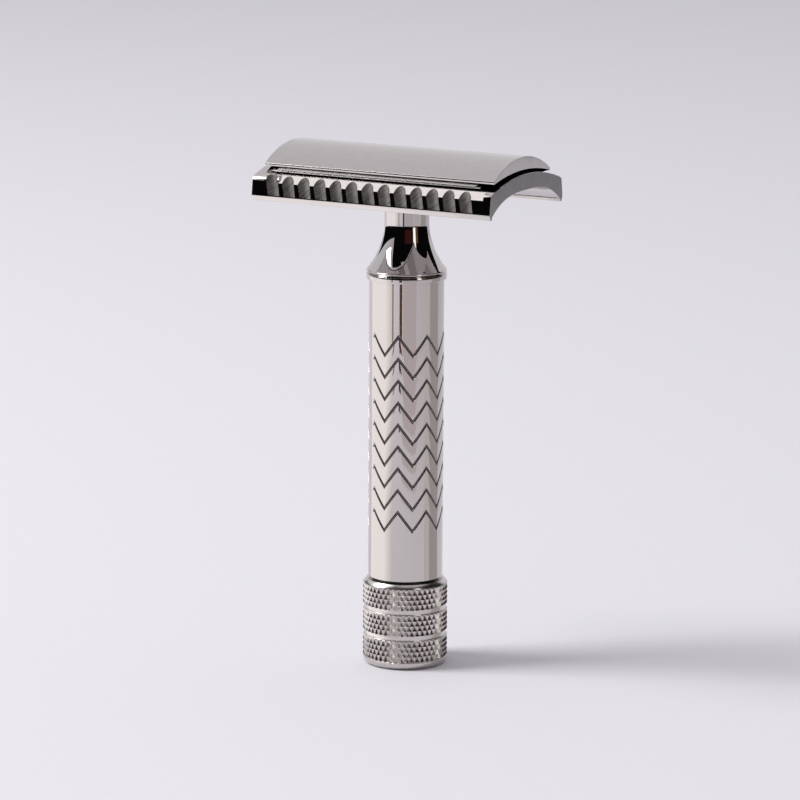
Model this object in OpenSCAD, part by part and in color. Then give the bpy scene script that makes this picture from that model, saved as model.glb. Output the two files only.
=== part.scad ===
// Double-edge safety razor with a twist knob. Turning the knob turns a rod inside the handle, whose
// threaded socket draws the cap down on its stud, so that cap, blade and base plate are clamped.
// Millimetres, +Z up the handle, origin at the centre of the knob's foot, the head's length along X.

/* [Blade] */
// Length of the blade over its end tabs
blade_len = 43; // [36:0.5:50]
// Width of the flat blade, edge to edge
blade_w = 22; // [19:0.5:26]
// Thickness of the blade
blade_t = 0.1; // [0.08:0.01:0.2]
// Length of each end tab, past the cutting edges
tab_len = 2.8; // [1.5:0.1:5]
// Width of the end tabs
tab_w = 13.4; // [11:0.2:17]
// Radius that the blade is bent to when it is clamped
bend_r = 41; // [32:0.5:60]
// Width of the slot along the middle of the blade
blade_slot_w = 1.4; // [1:0.1:2]

/* [Cap] */
// How far the cap covers the blade past each end
cap_end_cover = 0.1; // [0.1:0.1:2]
// How far each cutting edge stands out beyond the cap
blade_reveal = 1.02; // [0.5:0.02:1.6]
// Thickness of the cap at its crown
cap_t = 2.2; // [1.8:0.05:3]
// Thickness of the cap along its long rims
cap_rim = 0.45; // [0.3:0.05:0.8]
// Depth of the blind holes that hold the stud and pins in the cap
cap_hole_depth = 1; // [0.8:0.1:1.2]

/* [Base plate] */
// How far the base plate runs past the cap at each end
plate_end_step = 0.8; // [0:0.1:3]
// How far each guard stands out beyond the cutting edge
guard_reach = 2.08; // [1.5:0.02:3]
// Thickness of the arched plate at its middle
plate_t = 2.7; // [2.2:0.1:3.6]
// Radius of the plate's arched top
plate_top_r = 37; // [30:0.5:50]
// Height of the guards, from the plate's crown to their lower edges
guard_h = 6.2; // [5.4:0.1:7.4]
// Height of the upright inner faces of the guards
guard_lip = 0.45; // [0.4:0.05:1.2]
// Radius of the guards' upper front edges
guard_edge_r = 1; // [0.4:0.1:1.4]
// Lean of the guards' front faces from upright, in degrees
guard_lean = 7; // [0:1:15]
// Slope of the long chamfer above the scallops, in degrees
chamfer_slope = 42; // [35:1:60]
// How far inside the cutting edge the long chamfer starts
chamfer_inset = 0.3; // [0.05:0.05:0.6]
// Length of the long chamfer
chamfer_len = 38.4; // [30:0.1:42]
// How far the middle of each long chamfer lies to the right, as seen from its own side
chamfer_shift = 1.8; // [0:0.1:2]
// Width of the guards' lower edges
guard_tip_w = 0.5; // [0.4:0.1:1.2]
// Width of the bevel in front of the guards' lower edges
guard_bevel_w = 0.35; // [0.2:0.05:0.8]
// Height of the bevel in front of the guards' lower edges
guard_bevel_h = 0.9; // [0.5:0.1:1]
// Height of the raised seat that carries the blade
seat_rise = 0.25; // [0.2:0.05:0.8]
// How far the raised seat stops short of each cutting edge
seat_step = 0.25; // [0.2:0.05:3]
// Length of the lower land at each end of the raised seat
end_land = 2.9; // [2:0.1:5]

/* [Guard scallops] */
// Number of scallops in each guard
scallop_count = 13; // [7:1:19]
// Length of the plain block at each end of a guard
end_block = 2.75; // [2:0.05:5]
// Width of the rib between two scallops
scallop_rib = 0.68; // [0.4:0.02:1]
// Lean of the scallops from upright, in degrees
scallop_lean = 20.5; // [5:0.5:30]
// Slant of the scallops along the guard, in degrees
scallop_slant = 12; // [0:1:20]
// Depth of the ledge at the foot of each scallop
scallop_ledge = 0.75; // [0.4:0.05:1.2]
// Height of the rail under the scallops
rail_h = 1.05; // [0.8:0.05:1.6]

/* [Neck] */
// Length of the neck from the barrel to the base plate
neck_len = 16.4; // [13:0.1:22]
// Wall of the slim neck under the head
neck_wall = 0.65; // [0.5:0.05:1.2]
// Radius of the hollow flare between neck and collar
flare_r = 12; // [8:0.1:16]
// How far the collar at the foot of the flare stands out beyond the barrel
collar_step = 0.42; // [0:0.02:1]
// Height of the collar, up to the flare
collar_h = 1.5; // [0.8:0.1:3]
// Radius of the collar's edges
collar_edge_r = 0.2; // [0.1:0.05:0.3]
// Wall of the spigot that is swaged into the base plate
top_spigot_wall = 0.72; // [0.4:0.02:0.8]
// Width of the flat pad around the neck, under the base plate
pad_w = 0.6; // [0.3:0.1:1.5]
// Length of the spigot that is pressed into the barrel
low_spigot_len = 5; // [3:0.5:8]
// Height of the shoulder above the socket, where the neck's bore narrows to the stud
neck_shoulder = 2; // [1:0.1:3]

/* [Barrel] */
// Length of the barrel
barrel_len = 50.75; // [40:0.25:90]
// Diameter of the barrel
barrel_d = 12.62; // [11:0.1:15]
// Wall of the barrel
barrel_wall = 1.71; // [1.2:0.01:2]
// Length of the guide bushing in the barrel's foot
bushing_len = 8; // [4:0.5:12]

/* [Knob] */
// Height of the knob
knob_h = 14.7; // [12:0.1:20]
// Diameter of the knob over its knurled bands
knob_d = 14.3; // [13:0.1:18]
// Number of knurled bands
knob_bands = 3; // [2:1:4]
// Height of the plain grooves between the bands
knob_groove_h = 0.75; // [0.5:0.05:1.5]
// Depth of the plain grooves
knob_groove_depth = 0.3; // [0.2:0.05:0.6]
// Width of the rounded edge around the flat foot
foot_edge = 1.2; // [0.6:0.1:2]
// Height of the rounded edge around the flat foot
foot_h = 1.3; // [0.5:0.1:2]
// Width of the bevel around the knob's upper face
knob_bevel_w = 0.65; // [0.3:0.05:1.2]
// Height of the bevel around the knob's upper face
knob_bevel_h = 0.7; // [0.3:0.05:1]

/* [Drive] */
// Diameter of the cap's threaded stud, M5
stud_d = 5; // [4:0.5:5]
// Length of the stud below the cap
stud_len = 10.5; // [8:0.5:11]
// Wall of the threaded socket
socket_wall = 0.5; // [0.4:0.05:0.6]
// Length of the threaded socket
socket_len = 15; // [13:0.5:18]
// Depth of the threaded hole in the socket
thread_depth = 7.5; // [5:0.5:9]
// Diameter of the draw rod
rod_d = 4.4; // [4:0.1:4.8]
// Depth of each of the two flats that key the rod to the knob
rod_flat = 0.4; // [0.2:0.05:0.5]
// How deep the rod sits in the socket
rod_in_socket = 6; // [4:0.5:6.5]
// Diameter of the cross pin through socket and rod
cross_pin_d = 1.5; // [1:0.1:1.6]
// Diameter of the two guide pins under the cap
guide_pin_d = 3; // [2.4:0.1:3.4]
// Distance between the two guide pins
guide_pin_span = 27.2; // [22:0.2:29]
// Length of the guide pins below the cap
guide_pin_len = 2.6; // [2:0.1:2.8]

/* [Washers, clip and screw] */
// Thickness of the thrust washer between knob and barrel
washer_t = 0.42; // [0.3:0.02:1]
// How far the thrust washer's rim lies inside the barrel's surface
washer_recess = 0.71; // [0.4:0.01:1.5]
// Height of the wave washer above the bushing
wave_h = 0.6; // [0.4:0.05:1]
// Width of the wave washer's ring
wave_w = 1.7; // [1.2:0.1:1.9]
// Thickness of the retaining clip
clip_t = 0.6; // [0.4:0.05:0.8]
// How far the retaining clip stands out from the rod
clip_reach = 1.6; // [1:0.1:2]
// Depth of the clip's groove in the rod
clip_groove = 0.5; // [0.3:0.05:0.6]
// Width of the opening in the clip
clip_gap = 2.6; // [1.5:0.1:3]
// Diameter of the knob screw's thread, M3
screw_d = 3; // [2:0.5:3]
// Diameter of the knob screw's head
screw_head_d = 5.6; // [4.5:0.1:6]
// Height of the knob screw's head
screw_head_h = 1.9; // [1:0.1:2.4]
// Depth of the screw head below the foot
screw_recess = 0.5; // [0.3:0.1:1]
// Length of the screw's thread in the rod
screw_grip = 6; // [4:0.5:8]
// Width of the hexagon socket in the screw head, across its flats
screw_hex = 2; // [1.3:0.1:2.5]
// Thickness of the knob's web between screw head and rod
knob_web = 1.2; // [0.8:0.1:2]

/* [Clearances] */
// Radial clearance of the parts that turn in each other
running_fit = 0.05; // [0.02:0.01:0.1]
// Radial clearance of the stud and pins in the base plate and neck
pin_fit = 0.08; // [0.03:0.01:0.1]
// Radial clearance of the stud and pins in the blade
blade_fit = 0.3; // [0.15:0.05:0.5]
// Gap between the blade and the faces that clamp it
blade_gap = 0.07; // [0.03:0.01:0.15]
// Axial play of the knob against the barrel
axial_play = 0.03; // [0.02:0.01:0.1]
// Axial gap between socket and neck, and between clip and washer
end_gap = 0.1; // [0.05:0.05:0.3]

/* [Hidden] */
$fn = 96;
arc_steps = 12;
over = 1;
pad_h = 0.15;

// Heights of the pieces, stacked from the foot
barrel_z = knob_h + washer_t + axial_play;
neck_z = barrel_z + barrel_len;
plate_z = neck_z + neck_len;
under_z = plate_z + pad_h;
plate_crown_z = under_z + plate_t;
seat_crown_z = plate_crown_z + seat_rise;
blade_z = seat_crown_z + blade_gap;
bend_z = blade_z - bend_r;
cap_under_z = blade_z + blade_t + blade_gap;
cap_crown_z = cap_under_z + cap_t;

// The arcs of seat, blade and cap share one centre, at height bend_z
seat_r = bend_r - blade_gap;
cap_under_r = bend_r + blade_t + blade_gap;
edge_y = bend_r * sin(blade_w / 2 / bend_r * 180 / PI);
cap_half_w = edge_y - blade_reveal;
plate_half_w = edge_y + guard_reach;
edge_len = blade_len - 2 * tab_len;
seat_w = 2 * (edge_y - seat_step);
cap_len = blade_len + 2 * cap_end_cover;
plate_len = cap_len + 2 * plate_end_step;
rim_z = bend_z + sqrt(cap_under_r ^ 2 - cap_half_w ^ 2) + cap_rim;
cap_rise = cap_crown_z - rim_z;
cap_top_r = (cap_half_w ^ 2 + cap_rise ^ 2) / (2 * cap_rise);

// The guards' cross-section, whose upper edge touches both the arched top and the leaning front face
guard_z = plate_crown_z - guard_h;
ledge_z = guard_z + rail_h;
front_foot = [plate_half_w, guard_z + guard_bevel_h];
front_normal = [cos(guard_lean), sin(guard_lean)];
plate_top_centre = [0, plate_crown_z - plate_top_r];
edge_across = (front_foot - plate_top_centre) * front_normal - guard_edge_r;
edge_along = sqrt((plate_top_r - guard_edge_r) ^ 2 - edge_across ^ 2);
guard_edge_centre = plate_top_centre + edge_across * front_normal
                    + edge_along * [-front_normal.y, front_normal.x];
guard_edge_from = atan2(guard_edge_centre.y - plate_top_centre.y, guard_edge_centre.x);
guard_inner_y = plate_half_w - guard_bevel_w - guard_tip_w;
scallop_pitch = (plate_len - 2 * end_block) / scallop_count;
scallop_r = (scallop_pitch - scallop_rib) / 2;

// Neck and barrel
stud_r = stud_d / 2;
socket_r = stud_r + running_fit + socket_wall;
neck_bore_r = socket_r + running_fit;
neck_r = neck_bore_r + neck_wall;
top_spigot_r = stud_r + pin_fit + top_spigot_wall;
collar_edge = [barrel_d / 2 + collar_step - collar_edge_r, neck_z + collar_h];
flare_across = neck_r + flare_r - collar_edge.x;
flare_centre = collar_edge + [flare_across, sqrt((flare_r + collar_edge_r) ^ 2 - flare_across ^ 2)];
flare_from = atan2(flare_centre.y - collar_edge.y, flare_across);
barrel_bore = barrel_d - 2 * barrel_wall;

// Drive
rod_bore = rod_d + 2 * running_fit;
clip_groove_d = rod_d - 2 * clip_groove;
neck_shoulder_z = plate_z - neck_shoulder;
socket_z = neck_shoulder_z - end_gap - socket_len;
rod_top_z = socket_z + rod_in_socket;
cross_pin_z = socket_z + rod_in_socket / 2;
screw_z = screw_recess;
rod_z = screw_z + screw_head_h + knob_web;
bushing_top_z = barrel_z + bushing_len;
clip_z = bushing_top_z + end_gap + wave_h;
keyed_h = knob_h - rod_z;
band_h = (knob_h - foot_h - knob_bevel_h - (knob_bands - 1) * knob_groove_h) / knob_bands;

// An arc's points about a centre, from one angle to another
function arc(centre, r, from, to) =
    [for (i = [0:arc_steps]) centre + r * [cos(from + (to - from) * i / arc_steps),
                                           sin(from + (to - from) * i / arc_steps)]];

// Height of the base plate's underside at a distance from the middle, which falls away to the guards
function under_height(y) =
    under_z - (guard_h - plate_t - guard_lip) * (y / guard_inner_y) ^ 3;

// Right half of the base plate's cross-section, from the crown round to the underside's middle
function plate_half() = concat(
    arc(plate_top_centre, plate_top_r, 90, guard_edge_from),
    arc(guard_edge_centre, guard_edge_r, guard_edge_from, guard_lean),
    [front_foot,
     [plate_half_w - guard_bevel_w, guard_z],
     [guard_inner_y, guard_z]],
    [for (i = [arc_steps:-1:0]) let (y = guard_inner_y * i / arc_steps) [y, under_height(y)]]);

// A half outline and its mirror image, joined along the middle
function both_halves(half) =
    concat(half, [for (i = [len(half) - 1:-1:0]) if (half[i].x > 0) [-half[i].x, half[i].y]]);

// Extrudes a cross-section drawn in Y and Z along the head's length
module along_head(length) {
    rotate([90, 0, 90]) linear_extrude(length, center = true) children();
}

// A tube or ring standing on a height
module ring(outer_d, inner_d, height, z) {
    translate([0, 0, z]) difference() {
        cylinder(d = outer_d, h = height);
        translate([0, 0, -over]) cylinder(d = inner_d, h = height + 2 * over);
    }
}

// An upright rod, or the cutter of a drilled hole, standing on a height
module round_bar(r, z, height) {
    translate([0, 0, z]) cylinder(r = r, h = height);
}

module top_cap() {
    color("silver") difference() {
        along_head(cap_len) difference() {
            intersection() {
                translate([0, cap_crown_z - cap_top_r]) circle(cap_top_r);
                translate([-cap_half_w, bend_z]) square([2 * cap_half_w, cap_crown_z]);
            }
            translate([0, bend_z]) circle(cap_under_r);
        }
        round_bar(stud_r, cap_under_z - over, cap_hole_depth + over);
        for (side = [-1, 1]) translate([side * guide_pin_span / 2, 0, 0])
            round_bar(guide_pin_d / 2, cap_under_z - over, cap_hole_depth + over);
    }
}

module cap_stud() {
    tip = 0.5;
    color("gainsboro") {
        translate([0, 0, cap_under_z - stud_len + tip])
            cylinder(r = stud_r, h = stud_len - tip + cap_hole_depth);
        translate([0, 0, cap_under_z - stud_len]) cylinder(r1 = stud_r - tip, r2 = stud_r, h = tip);
    }
}

module guide_pin(side) {
    tip = 0.4;
    r = guide_pin_d / 2;
    color("gainsboro") translate([side * guide_pin_span / 2, 0, cap_under_z - guide_pin_len]) {
        translate([0, 0, tip]) cylinder(r = r, h = guide_pin_len - tip + cap_hole_depth);
        cylinder(r1 = r - tip, r2 = r, h = tip);
    }
}

// The blade's outline seen from above, with its slot and holes
module blade_plan() {
    difference() {
        union() {
            square([edge_len, 2 * edge_y], center = true);
            square([blade_len, tab_w], center = true);
        }
        square([guide_pin_span, blade_slot_w], center = true);
        circle(stud_r + blade_fit);
        for (side = [-1, 1]) translate([side * guide_pin_span / 2, 0])
            circle(guide_pin_d / 2 + blade_fit);
    }
}

module blade() {
    color("lightsteelblue") intersection() {
        along_head(blade_len) difference() {
            translate([0, bend_z]) circle(bend_r + blade_t);
            translate([0, bend_z]) circle(bend_r);
            translate([-2 * bend_r, -over]) square([4 * bend_r, bend_z + over]);
        }
        translate([0, 0, bend_z]) linear_extrude(2 * bend_r) blade_plan();
    }
}

// Round cutters for all the scallops, whose floors lean inwards from the ledge to the top
module scallop_cutters() {
    axis_y = plate_half_w - scallop_ledge + scallop_r / cos(scallop_lean);
    reach = 2 * guard_h;
    intersection() {
        translate([-plate_len, -plate_len, ledge_z]) cube([2 * plate_len, 2 * plate_len, reach]);
        for (side = [0, 180], k = [0:scallop_count - 1])
            rotate([0, 0, side])
                translate([(k - (scallop_count - 1) / 2) * scallop_pitch, -axis_y, ledge_z])
                    rotate([-scallop_lean, -scallop_slant, 0])
                        translate([0, 0, -guard_h]) cylinder(r = scallop_r, h = reach + guard_h);
    }
}

// Cutters of the long chamfers, which run from under the cutting edges down to the guards' front faces
module chamfer_cutters() {
    start_y = edge_y - chamfer_inset;
    start_z = bend_z + sqrt(seat_r ^ 2 - start_y ^ 2);
    reach = guard_reach + over;
    fall = reach * tan(chamfer_slope);
    for (side = [0, 180]) rotate([0, 0, side]) translate([chamfer_shift, 0, 0])
        along_head(chamfer_len) polygon([
            [-start_y, start_z], [-start_y - reach, start_z - fall],
            [-start_y - reach, start_z + fall], [-start_y, start_z + fall]]);
}

module base_plate() {
    color("silver") difference() {
        union() {
            along_head(plate_len) polygon(both_halves(plate_half()));
            along_head(plate_len - 2 * end_land) intersection() {
                translate([0, bend_z]) circle(seat_r);
                translate([-seat_w / 2, under_z + plate_t / 2]) square([seat_w, guard_h]);
            }
            round_bar(neck_r + pad_w, plate_z, plate_t / 2);
        }
        chamfer_cutters();
        scallop_cutters();
        round_bar(top_spigot_r, plate_z - over, guard_h);
        for (side = [-1, 1]) translate([side * guide_pin_span / 2, 0, 0])
            round_bar(guide_pin_d / 2 + pin_fit, plate_z - over, guard_h);
    }
}

module neck() {
    spigot_r = barrel_bore / 2;
    color("lightgray") difference() {
        rotate_extrude() polygon(concat(
            [[0, neck_z - low_spigot_len], [spigot_r, neck_z - low_spigot_len], [spigot_r, neck_z]],
            arc([collar_edge.x, neck_z + collar_edge_r], collar_edge_r, -90, 0),
            arc(collar_edge, collar_edge_r, 0, flare_from),
            arc(flare_centre, flare_r, flare_from + 180, 180),
            [[neck_r, plate_z], [top_spigot_r, plate_z],
             [top_spigot_r, plate_z + plate_t], [0, plate_z + plate_t]]));
        round_bar(neck_bore_r, neck_z - low_spigot_len - over,
                  neck_shoulder_z - neck_z + low_spigot_len + over);
        round_bar(stud_r + pin_fit, neck_z, plate_z);
    }
}

module barrel() {
    chamfer = 0.25;
    r = barrel_d / 2;
    color("silver") difference() {
        translate([0, 0, barrel_z]) rotate_extrude() polygon([
            [0, 0], [r - chamfer, 0], [r, chamfer],
            [r, barrel_len - chamfer], [r - chamfer, barrel_len], [0, barrel_len]]);
        round_bar(barrel_bore / 2, barrel_z - over, barrel_len + 2 * over);
    }
}

module guide_bushing() {
    color("goldenrod") ring(barrel_bore, rod_bore, bushing_len, barrel_z);
}

// Height at which a knurled band starts, counted from 0 at the foot
function band_z(i) = foot_h + i * (band_h + knob_groove_h);

module knob() {
    r = knob_d / 2;
    foot_r = r - foot_edge;
    slope = knob_groove_depth / 2;
    color("silver") difference() {
        rotate_extrude() polygon(concat(
            [[0, 0], [foot_r, 0], [r - foot_edge * 0.3, foot_h * 0.3], [r, foot_h]],
            [for (i = [0:knob_bands - 2]) each [
                [r, band_z(i) + band_h],
                [r - knob_groove_depth, band_z(i) + band_h + slope],
                [r - knob_groove_depth, band_z(i + 1) - slope],
                [r, band_z(i + 1)]]],
            [[r, knob_h - knob_bevel_h], [r - knob_bevel_w, knob_h], [0, knob_h]]));
        translate([0, 0, rod_z]) linear_extrude(keyed_h + over) rod_key();
        round_bar(screw_d / 2 + pin_fit, screw_z, rod_z);
        round_bar(screw_head_d / 2 + pin_fit, -over, screw_z + screw_head_h + over);
    }
}

// Section of the rod's lower end, with the two flats that key it to the knob
module rod_key() {
    intersection() {
        circle(rod_d / 2);
        square([rod_d, rod_d - 2 * rod_flat], center = true);
    }
}

module thrust_washer() {
    color("black") ring(barrel_d - 2 * washer_recess, rod_bore, washer_t, knob_h);
}

module draw_rod() {
    color("darkgray") difference() {
        union() {
            translate([0, 0, rod_z]) linear_extrude(keyed_h) rod_key();
            round_bar(rod_d / 2, knob_h, rod_top_z - knob_h);
        }
        ring(2 * rod_d, clip_groove_d, clip_t, clip_z);
        round_bar(screw_d / 2, rod_z - over, screw_grip + over);
        cross_bar();
    }
}

module threaded_socket() {
    color("goldenrod") difference() {
        round_bar(socket_r, socket_z, socket_len);
        round_bar(rod_d / 2, socket_z - over, rod_in_socket + over);
        round_bar(stud_r + running_fit, socket_z + socket_len - thread_depth, thread_depth + over);
        cross_bar();
    }
}

// The cross pin before its ends are cut flush with the socket, and the cutter of its holes
module cross_bar() {
    translate([0, 0, cross_pin_z]) rotate([90, 0, 0])
        cylinder(d = cross_pin_d, h = 3 * socket_r, center = true);
}

module cross_pin() {
    color("darkgray") intersection() {
        cross_bar();
        round_bar(socket_r, socket_z, socket_len);
    }
}

module retaining_clip() {
    color("dimgray") difference() {
        ring(rod_d + 2 * clip_reach, clip_groove_d, clip_t, clip_z);
        translate([0, -clip_gap / 2, clip_z - over]) cube([rod_d, clip_gap, clip_t + 2 * over]);
    }
}

module wave_washer() {
    color("gray") ring(rod_bore + 2 * wave_w, rod_bore, wave_h, bushing_top_z + end_gap);
}

module knob_screw() {
    screw_end = 0.3;
    color("dimgray") difference() {
        union() {
            round_bar(screw_head_d / 2, screw_z, screw_head_h);
            round_bar(screw_d / 2, screw_z, screw_head_h + knob_web + screw_grip - screw_end);
        }
        translate([0, 0, screw_z - over])
            cylinder(r = screw_hex / sqrt(3), h = screw_head_h / 2 + over, $fn = 6);
    }
}

top_cap();
cap_stud();
guide_pin(-1);  // guide_pin_left
guide_pin(1);  // guide_pin_right
blade();
base_plate();
neck();
barrel();
guide_bushing();
knob();
thrust_washer();
draw_rod();
threaded_socket();
cross_pin();
retaining_clip();
wave_washer();
knob_screw();
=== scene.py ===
import logging
import math
from dataclasses import dataclass
from enum import Enum

import bmesh
import bpy
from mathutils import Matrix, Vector
from mathutils.geometry import tessellate_polygon


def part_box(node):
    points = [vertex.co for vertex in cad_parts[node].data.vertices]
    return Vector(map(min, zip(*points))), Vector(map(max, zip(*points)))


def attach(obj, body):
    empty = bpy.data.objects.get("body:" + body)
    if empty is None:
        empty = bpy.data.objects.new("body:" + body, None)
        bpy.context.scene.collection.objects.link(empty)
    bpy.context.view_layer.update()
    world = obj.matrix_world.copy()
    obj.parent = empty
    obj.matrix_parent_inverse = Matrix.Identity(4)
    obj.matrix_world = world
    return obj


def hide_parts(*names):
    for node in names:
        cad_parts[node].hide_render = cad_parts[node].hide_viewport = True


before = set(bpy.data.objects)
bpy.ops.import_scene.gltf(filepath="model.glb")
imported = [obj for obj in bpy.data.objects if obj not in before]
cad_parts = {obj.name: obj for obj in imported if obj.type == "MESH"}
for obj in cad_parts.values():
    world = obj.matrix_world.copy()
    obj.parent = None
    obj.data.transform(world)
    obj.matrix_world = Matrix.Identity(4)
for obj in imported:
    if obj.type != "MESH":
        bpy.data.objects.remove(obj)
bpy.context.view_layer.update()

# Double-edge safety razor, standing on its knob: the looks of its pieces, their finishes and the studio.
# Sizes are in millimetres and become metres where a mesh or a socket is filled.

MM = 0.001
LOG = logging.getLogger("safety_razor")
Point = tuple[float, float]
Point3 = tuple[float, float, float]
Faces = list[tuple[int, ...]]


# ---------------------------------------------------------------- colours, nodes and finishes

def linear_colour(text: str, strength: float = 1.0) -> tuple[float, float, float, float]:
    """Turns an sRGB hex colour into a linear one.

    Args:
        text: The colour as six hex digits.
        strength: A factor on all three channels.

    Returns:
        Linear red, green and blue, and an alpha of 1.
    """
    channels = [int(text[i:i + 2], 16) / 255 for i in (0, 2, 4)]
    bent = [c / 12.92 if c <= 0.04045 else ((c + 0.055) / 1.055) ** 2.4 for c in channels]
    return (bent[0] * strength, bent[1] * strength, bent[2] * strength, 1.0)


def add_node(tree: bpy.types.NodeTree, kind: str, inputs: dict | None = None,
             **settings: object) -> bpy.types.Node:
    """Adds a node to a tree, with its settings, values and links.

    Args:
        tree: The material, world or geometry tree.
        kind: The node's type.
        inputs: Input name or index to a value, or to the output socket that feeds it.
        **settings: The node's own properties.

    Returns:
        The new node.
    """
    node = tree.nodes.new(kind)
    for name, value in settings.items():
        setattr(node, name, value)
    for key, value in (inputs or {}).items():
        if isinstance(value, bpy.types.NodeSocket):
            tree.links.new(value, node.inputs[key])
        else:
            node.inputs[key].default_value = value
    return node


class Marks(Enum):
    """How the marks of a surface lie: in all directions, around the handle, along the head, or slanting."""

    EVEN = (1.0, 1.0, 1.0)
    AROUND = (0.0, 0.0, 1.0)
    ALONG_HEAD = (0.02, 1.0, 1.0)
    SLANTING = (0.1, 0.1, 1.0)


# Size of the patches where a polished surface is a little duller from handling
HAZE_MM = 5.0
# The stretches of the noises that are spread over a finish's roughness and over its two colours
GLOSS_RANGE = (0.12, 0.42)
COLOUR_RANGE = (0.35, 0.65)
SMOOTHEST = 0.02


@dataclass(frozen=True)
class Finish:
    """A metal or plastic surface, with the marks that its making left on it.

    The marks change colour, roughness and height a little, at their real spacing, or at a coarser one where
    the comment beside the finish says so.
    """

    name: str
    colour: str
    worn_colour: str
    roughness: float
    roughness_spread: float
    marks: Marks
    spacing_mm: float
    depth_mm: float
    metallic: float = 1.0
    slant: float = 0.0

    def material(self) -> bpy.types.Material:
        """Builds the material once and returns the same one after that."""
        if self.name in bpy.data.materials:
            return bpy.data.materials[self.name]
        made = bpy.data.materials.new(self.name)
        made.use_nodes = True
        tree = made.node_tree
        tree.nodes.clear()
        place = add_node(tree, "ShaderNodeTexCoord").outputs["Object"]
        fine = 1 / (self.spacing_mm * MM)
        turned = add_node(tree, "ShaderNodeMapping", {"Vector": place, "Rotation": (0, self.slant, 0)})
        lined = add_node(tree, "ShaderNodeMapping", {
            "Vector": turned.outputs[0], "Scale": tuple(fine * s for s in self.marks.value)})
        marks = add_node(tree, "ShaderNodeTexNoise", {
            "Vector": lined.outputs[0], "Scale": 1.0, "Detail": 3.0, "Roughness": 0.6})
        haze = add_node(tree, "ShaderNodeTexNoise", {
            "Vector": place, "Scale": 1 / (HAZE_MM * MM), "Detail": 2.0})
        mixed = add_node(tree, "ShaderNodeMath", {0: marks.outputs[0], 1: haze.outputs[0]},
                         operation="MULTIPLY")
        rough = add_node(tree, "ShaderNodeMapRange", {
            "Value": mixed.outputs[0], "From Min": GLOSS_RANGE[0], "From Max": GLOSS_RANGE[1],
            "To Min": max(self.roughness - self.roughness_spread, SMOOTHEST),
            "To Max": self.roughness + self.roughness_spread})
        shade = add_node(tree, "ShaderNodeMapRange", {
            "Value": marks.outputs[0], "From Min": COLOUR_RANGE[0], "From Max": COLOUR_RANGE[1]})
        tint = add_node(tree, "ShaderNodeMix", {
            0: shade.outputs[0], 6: linear_colour(self.colour), 7: linear_colour(self.worn_colour)},
            data_type="RGBA")
        relief = add_node(tree, "ShaderNodeBump", {
            "Height": marks.outputs[0], "Strength": 1.0, "Distance": self.depth_mm * MM})
        shader = add_node(tree, "ShaderNodeBsdfPrincipled", {
            "Base Color": tint.outputs[2], "Roughness": rough.outputs[0],
            "Metallic": self.metallic, "Normal": relief.outputs[0]})
        add_node(tree, "ShaderNodeOutputMaterial", {"Surface": shader.outputs[0]})
        return made


# Chromium plate on polished brass: a cool mirror, with slow and very shallow waves from buffing
CHROME_PLATE = Finish("chrome_plate_buffed", "C8C4C3", "C5C1C0", 0.04, 0.01, Marks.EVEN, 1.6, 0.00001)
# The same plate over a turned barrel: fine rings draw each reflection out a little. The lathe's own rings
# are finer, and too fine to show, so these are drawn coarser
CHROME_TURNED = Finish("chrome_plate_over_turned_brass", "CDC8C5", "C6C1BE", 0.07, 0.02,
                       Marks.AROUND, 0.12, 0.00008)
# End faces of the base plate: a darker grey than the rest of the plate, and rougher, without a mirror
CHROME_DARK_END = Finish("chrome_plate_darker_end", "A2A09F", "9A9897", 0.26, 0.04,
                       Marks.EVEN, 0.12, 0.0003)
# Plated floors of the engraved lines: the wheel left them dull, and their dark grey colour is painted shade,
# for the shade in the grooves
CHROME_ENGRAVED_PAINTED_SHADE = Finish("chrome_plate_over_engraved_line_painted_shade", "9A9593", "868180", 0.36, 0.06,
                         Marks.EVEN, 0.15, 0.001)
# Plated floors of the scallops, left as the cutter made them: rough, with slanting tool lines. Their dark
# colour is painted shade, for the shade that falls in the scallops under the head
CHROME_MILLED_PAINTED_SHADE = Finish("chrome_plate_over_milled_floor_painted_shade", "6E6B69", "9B9896", 0.74, 0.08,
                       Marks.SLANTING, 0.22, 0.012, slant=0.75)
# Satin chromium plate over rolled knurling: each facet stays readable, with no hard mirror
CHROME_SATIN = Finish("satin_chrome_over_knurling", "D8D4D1", "CBC6C3", 0.26, 0.05, Marks.EVEN, 0.1, 0.002)
# Cold-rolled stainless blade steel with a thin oil film: a soft grey sheet, whose rolling lines are drawn
# coarser than they are
BLADE_STEEL = Finish("stainless_blade_sheet", "BDBCBA", "A9A8A6", 0.2, 0.05, Marks.ALONG_HEAD, 0.08, 0.0004)
# The ground bevels of the blade: a pale strip with faint lines along the edge. The grinding's own lines are
# finer, and too fine to show, so these are drawn coarser
BLADE_GROUND = Finish("stainless_blade_ground_edge", "A9A7A5", "E6E4E2", 0.2, 0.05,
                      Marks.ALONG_HEAD, 0.1, 0.0004)
# Cold-drawn steel stud with a rolled thread: bright crests, duller hollows
STUD_STEEL = Finish("plated_steel_thread", "C9C6C1", "A5A29D", 0.18, 0.06, Marks.AROUND, 0.15, 0.0006)
# Ground steel rod: close rings from centreless grinding, drawn coarser than they are
ROD_STEEL = Finish("ground_steel_rod", "B4B2AE", "9B9995", 0.24, 0.06, Marks.AROUND, 0.1, 0.0008)
# Blackened spring steel of clip, wave washer and screw: dark, slightly brown, half matt
SPRING_STEEL = Finish("blackened_spring_steel", "4A4744", "37332F", 0.36, 0.08, Marks.EVEN, 0.3, 0.001)
# Turned free-cutting brass: warm yellow, with lathe rings
TURNED_BRASS = Finish("turned_brass", "C9A45C", "B08B45", 0.26, 0.07, Marks.AROUND, 0.12, 0.0012)
# Moulded black acetal: deep black with a soft, waxy shine
BLACK_ACETAL = Finish("moulded_black_acetal", "141414", "1C1B1B", 0.38, 0.06, Marks.EVEN, 0.25, 0.0008,
                      metallic=0.0)


# ---------------------------------------------------------------- meshes

# Corners nearer to each other than this are one corner
SAME_PLACE_MM = 0.0005
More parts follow.
